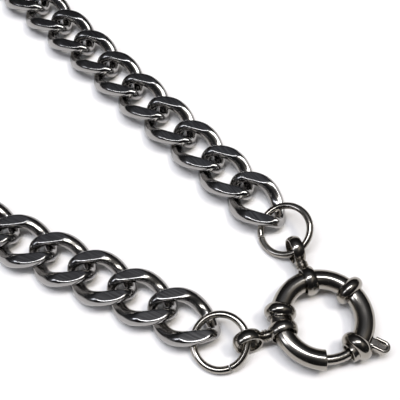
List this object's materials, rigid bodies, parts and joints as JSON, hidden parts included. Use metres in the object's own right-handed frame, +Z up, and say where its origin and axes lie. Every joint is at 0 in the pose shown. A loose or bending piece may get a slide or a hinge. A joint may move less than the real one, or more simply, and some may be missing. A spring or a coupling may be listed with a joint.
{
  "type": "curb chain necklace with bolt ring clasp",
  "caption": "Heavy curb chain necklace in polished steel, closed into a loop by a large bolt ring clasp with a sprung thumb lug, eyed connectors and split jump rings.",
  "frame": {"origin": "middle of the necklace's outer box, on the surface that it lies on", "axes": "+X along the loop's centre line towards the clasp, +Y towards the left strand, +Z up from the surface"},
  "size_m": [0.2122, 0.0883, 0.0062],
  "materials": {
    "chain_steel": "polished wire with finely brushed ground flats",
    "ring_steel": "polished stainless steel wire",
    "connector_steel": "polished stainless steel, turned and ridged",
    "clasp_steel": "mirror polished stainless steel tube",
    "bolt_steel": "mirror polished stainless steel"
  },
  "bodies": {
    "necklace": {"link_01": "chain_steel", "link_02": "chain_steel", "link_03": "chain_steel", "link_04": "chain_steel", "link_05": "chain_steel", "link_06": "chain_steel", "link_07": "chain_steel", "link_08": "chain_steel", "link_09": "chain_steel", "link_10": "chain_steel", "link_11": "chain_steel", "link_12": "chain_steel", "link_13": "chain_steel", "link_14": "chain_steel", "link_15": "chain_steel", "link_16": "chain_steel", "link_17": "chain_steel", "link_18": "chain_steel", "link_19": "chain_steel", "link_20": "chain_steel", "link_21": "chain_steel", "link_22": "chain_steel", "link_23": "chain_steel", "link_24": "chain_steel", "link_25": "chain_steel", "link_26": "chain_steel", "link_27": "chain_steel", "link_28": "chain_steel", "link_29": "chain_steel", "link_30": "chain_steel", "link_31": "chain_steel", "link_32": "chain_steel", "link_33": "chain_steel", "link_34": "chain_steel", "link_35": "chain_steel", "link_36": "chain_steel", "link_37": "chain_steel", "link_38": "chain_steel", "link_39": "chain_steel", "link_40": "chain_steel", "link_41": "chain_steel", "link_42": "chain_steel", "link_43": "chain_steel", "link_44": "chain_steel", "left_jump_ring": "ring_steel", "right_jump_ring": "ring_steel", "left_connector": "connector_steel", "right_connector": "connector_steel", "clasp_case": "clasp_steel"},
    "bolt": {"clasp_bolt": "bolt_steel"}
  },
  "joints": [
    {"name": "bolt_slide", "type": "hinge", "parent": "necklace", "child": "bolt", "pos_m": [0.09292, 0.0011, 0.0031], "axis": [0, 0, 1], "range_deg": [0, 36], "stiffness_Nm_per_rad": 0.03, "springref_deg": -17.19}
  ]
}
